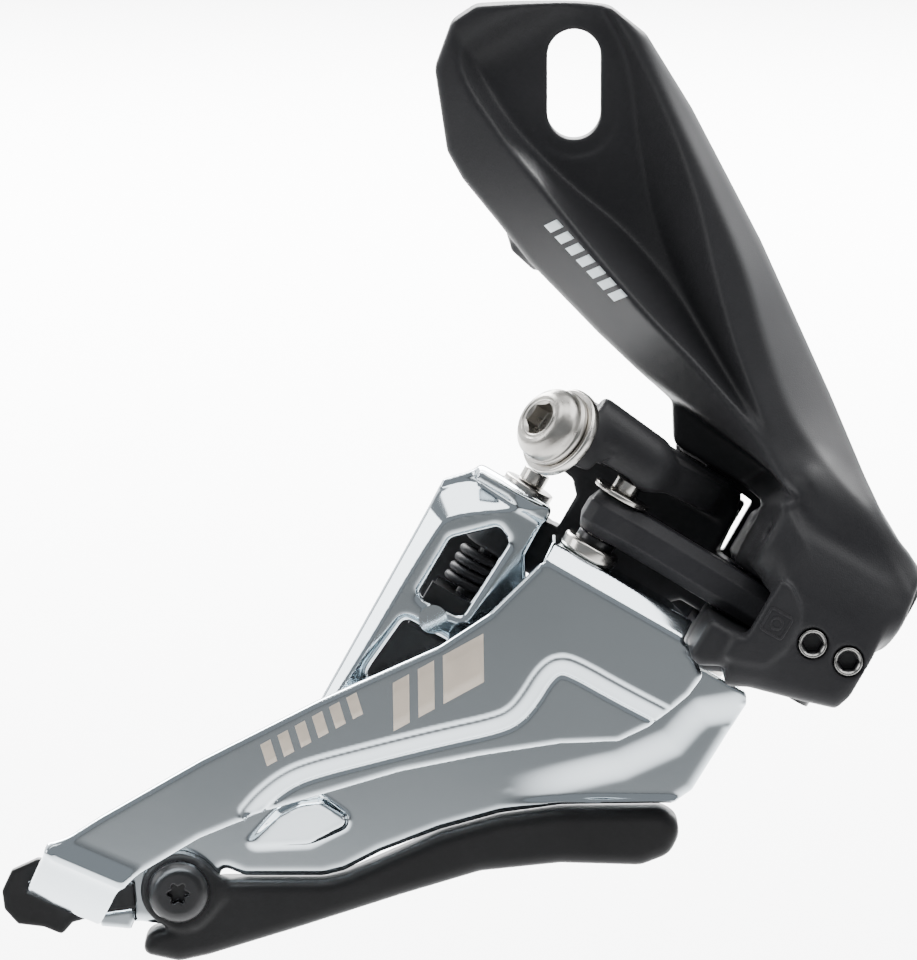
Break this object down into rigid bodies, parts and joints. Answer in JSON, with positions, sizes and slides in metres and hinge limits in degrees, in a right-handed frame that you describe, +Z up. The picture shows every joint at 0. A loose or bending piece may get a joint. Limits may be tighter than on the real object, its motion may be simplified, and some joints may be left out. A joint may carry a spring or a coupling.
{
  "type": "front derailleur",
  "caption": "Side-swing direct-mount front derailleur: a chain cage carried on a four-bar linkage from a dished bracket, with limit screws and a cable clamp.",
  "frame": {"origin": "centre of the frame-bolt slot on the bracket's mounting face", "axes": "+X forward along the bicycle, +Y inboard towards the frame, +Z up"},
  "size_m": [0.1199, 0.0376, 0.1257],
  "materials": {
    "cast_black": "fine-textured satin black paint",
    "link_grey": "blasted dark grey anodised",
    "cage_chrome": "bright plated steel with a satin grey face",
    "pin_steel": "turned, bright",
    "screw_steel": "dark socket, worn bright rim",
    "black_steel": "black oxide",
    "spring_steel": "oiled spring wire",
    "bush_plastic": "self-lubricating liner",
    "guard_plastic": "moulded black, fine grain"
  },
  "bodies": {
    "bracket": {"mount_bracket": "cast_black", "cable_entry_liner": "guard_plastic", "outer_base_pin": "pin_steel", "inner_base_pin": "pin_steel"},
    "outer_link": {"outer_link": "link_grey", "outer_link_bushes": "bush_plastic"},
    "inner_link": {"inner_link": "cast_black", "inner_link_bushes": "bush_plastic", "cable_clamp_washer": "pin_steel", "cable_clamp_bolt": "pin_steel"},
    "cage": {"cage_outer_plate": "cage_chrome", "cage_inner_plate": "cage_chrome", "lower_pin_support": "black_steel", "bridge_rivets": "pin_steel", "support_rivets": "pin_steel", "outer_cage_pin": "pin_steel", "outer_pin_washer": "pin_steel", "outer_pin_spacer": "pin_steel", "inner_cage_pin": "pin_steel", "inner_pin_washer": "pin_steel", "inner_pin_clip": "pin_steel", "return_spring": "spring_steel", "spring_cover": "guard_plastic", "skid_plate": "guard_plastic", "skid_plate_screw": "black_steel", "tail_block": "guard_plastic", "tail_rivet": "pin_steel"},
    "high_limit_screw": {"high_limit_screw": "screw_steel"},
    "low_limit_screw": {"low_limit_screw": "screw_steel"}
  },
  "joints": [
    {"name": "inner_link_swing", "type": "hinge", "parent": "bracket", "child": "inner_link", "pos_m": [0.02344, -0.0153, -0.06579], "axis": [0.5, 0, 0.866], "range_deg": [0, 20], "stiffness_Nm_per_rad": 0.25, "springref_deg": -57.3},
    {"name": "outer_link_swing", "type": "hinge", "parent": "bracket", "child": "outer_link", "pos_m": [0.0321, -0.0283, -0.07079], "axis": [0.5, 0, 0.866], "range_deg": [0, 20]},
    {"name": "cage_pivot", "type": "hinge", "parent": "inner_link", "child": "cage", "pos_m": [-0.00426, -0.0085, -0.0498], "axis": [0.5, 0, 0.866], "range_deg": [-20, 0]},
    {"name": "high_limit_turn", "type": "hinge", "parent": "bracket", "child": "high_limit_screw", "pos_m": [0.03016, -0.035, -0.06898], "axis": [0, 1, 0], "range_deg": [-360, 360]},
    {"name": "low_limit_turn", "type": "hinge", "parent": "bracket", "child": "low_limit_screw", "pos_m": [0.03473, -0.035, -0.07127], "axis": [0, 1, 0], "range_deg": [-360, 360]}
  ],
  "couplings": [
    {"joint": "outer_link_swing", "follows": "inner_link_swing", "ratio": 1},
    {"joint": "cage_pivot", "follows": "inner_link_swing", "ratio": -1}
  ]
}
